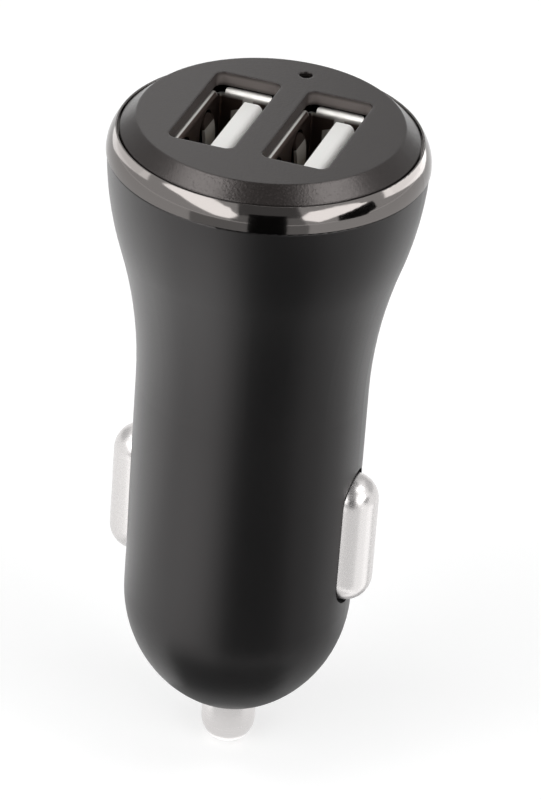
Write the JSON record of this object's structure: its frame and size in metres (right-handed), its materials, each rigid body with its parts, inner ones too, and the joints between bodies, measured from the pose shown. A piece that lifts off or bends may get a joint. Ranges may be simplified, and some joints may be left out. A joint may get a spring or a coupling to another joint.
{
  "type": "car usb charger plug",
  "caption": "Bulb-headed plug that fits a car's power socket by sprung side contacts and a tip, with upright USB-A ports in its flat face",
  "frame": {"origin": "on the plug's axis, halfway down the plain barrel that the socket's mouth takes", "axes": "+Z runs along the plug's axis out of the socket, towards the face with the ports; the ports stand side by side along X, with their long sides along Y; the side contacts stand out at +X and -X; the status light is at +Y"},
  "size_m": [0.0278, 0.0278, 0.0637],
  "materials": {
    "soft_touch_black": "soft-touch matte black",
    "dark_chrome": "dark chrome plating on plastic",
    "cap_grey": "satin dark grey",
    "clear_plastic": "clear polished",
    "led_resin": "yellowish resin",
    "nickel_steel": "bright nickel plating",
    "white_plastic": "moulded white",
    "gold_brass": "gold plating",
    "board_green": "solder-masked laminate",
    "ferrite": "pressed ferrite",
    "enamelled_wire": "enamelled copper wire",
    "capacitor_sleeve": "printed-free blue sleeve over a can",
    "chip_black": "moulded epoxy",
    "tinned_leads": "matt tin plating",
    "fuse_yellow": "polymer-coated",
    "chip_ceramic": "fired ceramic",
    "cup_brass": "bare brass",
    "spring_steel": "drawn steel",
    "nickel_tip": "satin nickel plating",
    "nickel_contact": "satin nickel plating"
  },
  "bodies": {
    "plug": {"housing": "soft_touch_black", "trim_ring": "dark_chrome", "face_cap": "cap_grey", "light_pipe": "clear_plastic", "status_led": "led_resin", "usb_shell_left": "nickel_steel", "usb_shell_right": "nickel_steel", "usb_tongue_left": "white_plastic", "usb_tongue_right": "white_plastic", "usb_contacts_left": "gold_brass", "usb_contacts_right": "gold_brass", "port_board": "board_green", "main_board": "board_green", "board_pins": "gold_brass", "inductor_core": "ferrite", "inductor_winding": "enamelled_wire", "input_capacitor": "capacitor_sleeve", "output_capacitor": "capacitor_sleeve", "buck_controller": "chip_black", "controller_leads": "tinned_leads", "rectifier_diode": "chip_black", "input_fuse": "fuse_yellow", "chip_parts": "chip_ceramic", "spring_cup": "cup_brass", "tip_spring": "spring_steel", "left_contact_spring": "spring_steel", "right_contact_spring": "spring_steel"},
    "tip": {"tip_contact": "nickel_tip"},
    "left_side_contact": {"left_contact": "nickel_contact"},
    "right_side_contact": {"right_contact": "nickel_contact"}
  },
  "joints": [
    {"name": "tip_slide", "type": "slide", "parent": "plug", "child": "tip", "axis": [0, 0, 1], "range_m": [0, 0.003], "stiffness_N_per_m": 900, "springref_m": -0.0015, "deforming": ["tip_spring"]},
    {"name": "right_contact_slide", "type": "slide", "parent": "plug", "child": "right_side_contact", "axis": [-1, 0, 0], "range_m": [0, 0.00205], "stiffness_N_per_m": 1500, "springref_m": -0.001, "deforming": ["right_contact_spring"]},
    {"name": "left_contact_slide", "type": "slide", "parent": "plug", "child": "left_side_contact", "axis": [1, 0, 0], "range_m": [0, 0.00205], "stiffness_N_per_m": 1500, "springref_m": -0.001, "deforming": ["left_contact_spring"]}
  ]
}
